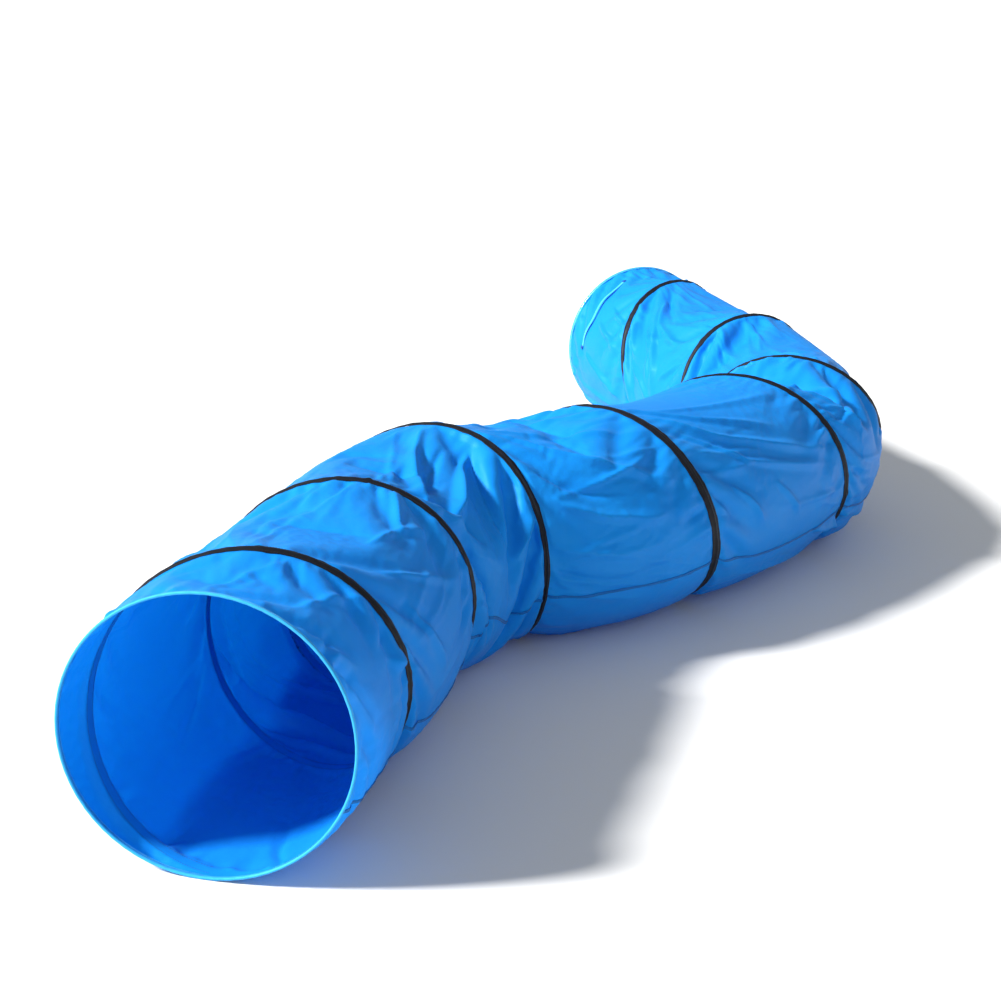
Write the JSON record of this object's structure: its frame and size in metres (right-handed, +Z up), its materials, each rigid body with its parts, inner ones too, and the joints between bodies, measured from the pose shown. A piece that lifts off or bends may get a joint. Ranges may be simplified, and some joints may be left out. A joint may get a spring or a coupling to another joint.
{
  "type": "collapsible dog agility tunnel",
  "caption": "Collapsible cloth agility tunnel for dogs, held open by a spring-steel coil and laid out on the ground in a gentle S curve.",
  "frame": {"origin": "on the ground, under the middle of the tunnel's box", "axes": "+X from the near mouth towards the far mouth, +Y to the left of that, +Z up"},
  "size_m": [4.3972, 1.4098, 0.606],
  "materials": {
    "azure_cloth": "smooth woven polyester, slightly glossy",
    "hem_cloth": "doubled polyester hem, rolled and stitched",
    "black_casing_tape": "plain woven black tape, stitched along both edges",
    "spring_steel_wire": "bare spring steel",
    "zinc_plated_crimp": "zinc plated, pressed",
    "strap_cloth": "folded narrow cloth strap, edge stitched",
    "bar_tack_thread": "dense zigzag stitching"
  },
  "bodies": {
    "near_mouth": {"near_hem": "hem_cloth", "near_end_ring": "spring_steel_wire", "near_crimp_sleeve": "zinc_plated_crimp"},
    "turn_1": {"cloth_turn_1": "azure_cloth", "wire_casing_1": "black_casing_tape", "coil_wire_1": "spring_steel_wire"},
    "turn_2": {"cloth_turn_2": "azure_cloth", "wire_casing_2": "black_casing_tape", "coil_wire_2": "spring_steel_wire"},
    "turn_3": {"cloth_turn_3": "azure_cloth", "wire_casing_3": "black_casing_tape", "coil_wire_3": "spring_steel_wire"},
    "turn_4": {"cloth_turn_4": "azure_cloth", "wire_casing_4": "black_casing_tape", "coil_wire_4": "spring_steel_wire"},
    "turn_5": {"cloth_turn_5": "azure_cloth", "wire_casing_5": "black_casing_tape", "coil_wire_5": "spring_steel_wire"},
    "turn_6": {"cloth_turn_6": "azure_cloth", "wire_casing_6": "black_casing_tape", "coil_wire_6": "spring_steel_wire"},
    "turn_7": {"cloth_turn_7": "azure_cloth", "wire_casing_7": "black_casing_tape", "coil_wire_7": "spring_steel_wire"},
    "far_mouth": {"cloth_turn_8": "azure_cloth", "wire_casing_8": "black_casing_tape", "coil_wire_8": "spring_steel_wire", "far_hem": "hem_cloth", "far_end_ring": "spring_steel_wire", "far_crimp_sleeve": "zinc_plated_crimp", "carry_strap": "strap_cloth", "strap_tack_lower": "bar_tack_thread", "strap_tack_upper": "bar_tack_thread"}
  },
  "joints": [
    {"name": "collapse_turn_1", "type": "hinge", "parent": "near_mouth", "child": "turn_1", "pos_m": [-1.79203, -2.49561, 0.303], "axis": [0, 0, 1], "range_deg": [0, 10.3], "deforming": ["cloth_turn_1", "wire_casing_1", "coil_wire_1"]},
    {"name": "collapse_turn_2", "type": "hinge", "parent": "turn_1", "child": "turn_2", "pos_m": [-1.51008, 2.40152, 0.303], "axis": [0, 0, -1], "range_deg": [0, 12.2], "deforming": ["cloth_turn_2", "wire_casing_2", "coil_wire_2"]},
    {"name": "collapse_turn_3", "type": "hinge", "parent": "turn_2", "child": "turn_3", "pos_m": [-1.06835, -0.31175, 0.303], "axis": [0, 0, 1], "range_deg": [0, 54.4], "deforming": ["cloth_turn_3", "wire_casing_3", "coil_wire_3"]},
    {"name": "collapse_turn_4", "type": "hinge", "parent": "turn_3", "child": "turn_4", "pos_m": [0.4643, 1.19263, 0.303], "axis": [0, 0, -1], "range_deg": [0, 22.6], "deforming": ["cloth_turn_4", "wire_casing_4", "coil_wire_4"]},
    {"name": "collapse_turn_5", "type": "hinge", "parent": "turn_4", "child": "turn_5", "pos_m": [3.46592, 8.3405, 0.303], "axis": [0, 0, -1], "range_deg": [0, 4.5], "deforming": ["cloth_turn_5", "wire_casing_5", "coil_wire_5"]},
    {"name": "collapse_turn_6", "type": "hinge", "parent": "turn_5", "child": "turn_6", "pos_m": [0.76893, 0.12158, 0.303], "axis": [0, 0, -1], "range_deg": [0, 40.9], "deforming": ["cloth_turn_6", "wire_casing_6", "coil_wire_6"]},
    {"name": "collapse_turn_7", "type": "hinge", "parent": "turn_6", "child": "turn_7", "pos_m": [0.26619, 1.34535, 0.303], "axis": [0, 0, -1], "range_deg": [0, 15.4], "deforming": ["cloth_turn_7", "wire_casing_7", "coil_wire_7"]},
    {"name": "collapse", "type": "slide", "parent": "turn_7", "child": "far_mouth", "axis": [-0.7872, -0.6168, 0], "range_m": [0, 0.741], "stiffness_N_per_m": 25, "springref_m": -0.25, "deforming": ["cloth_turn_8", "wire_casing_8", "coil_wire_8", "carry_strap", "strap_tack_lower", "strap_tack_upper"]}
  ],
  "couplings": [
    {"joint": "collapse_turn_1", "follows": "collapse", "rad_per_m": 0.2426},
    {"joint": "collapse_turn_2", "follows": "collapse", "rad_per_m": 0.28736},
    {"joint": "collapse_turn_3", "follows": "collapse", "rad_per_m": 1.2813},
    {"joint": "collapse_turn_4", "follows": "collapse", "rad_per_m": 0.53231},
    {"joint": "collapse_turn_5", "follows": "collapse", "rad_per_m": 0.10599},
    {"joint": "collapse_turn_6", "follows": "collapse", "rad_per_m": 0.96335},
    {"joint": "collapse_turn_7", "follows": "collapse", "rad_per_m": 0.36273}
  ]
}
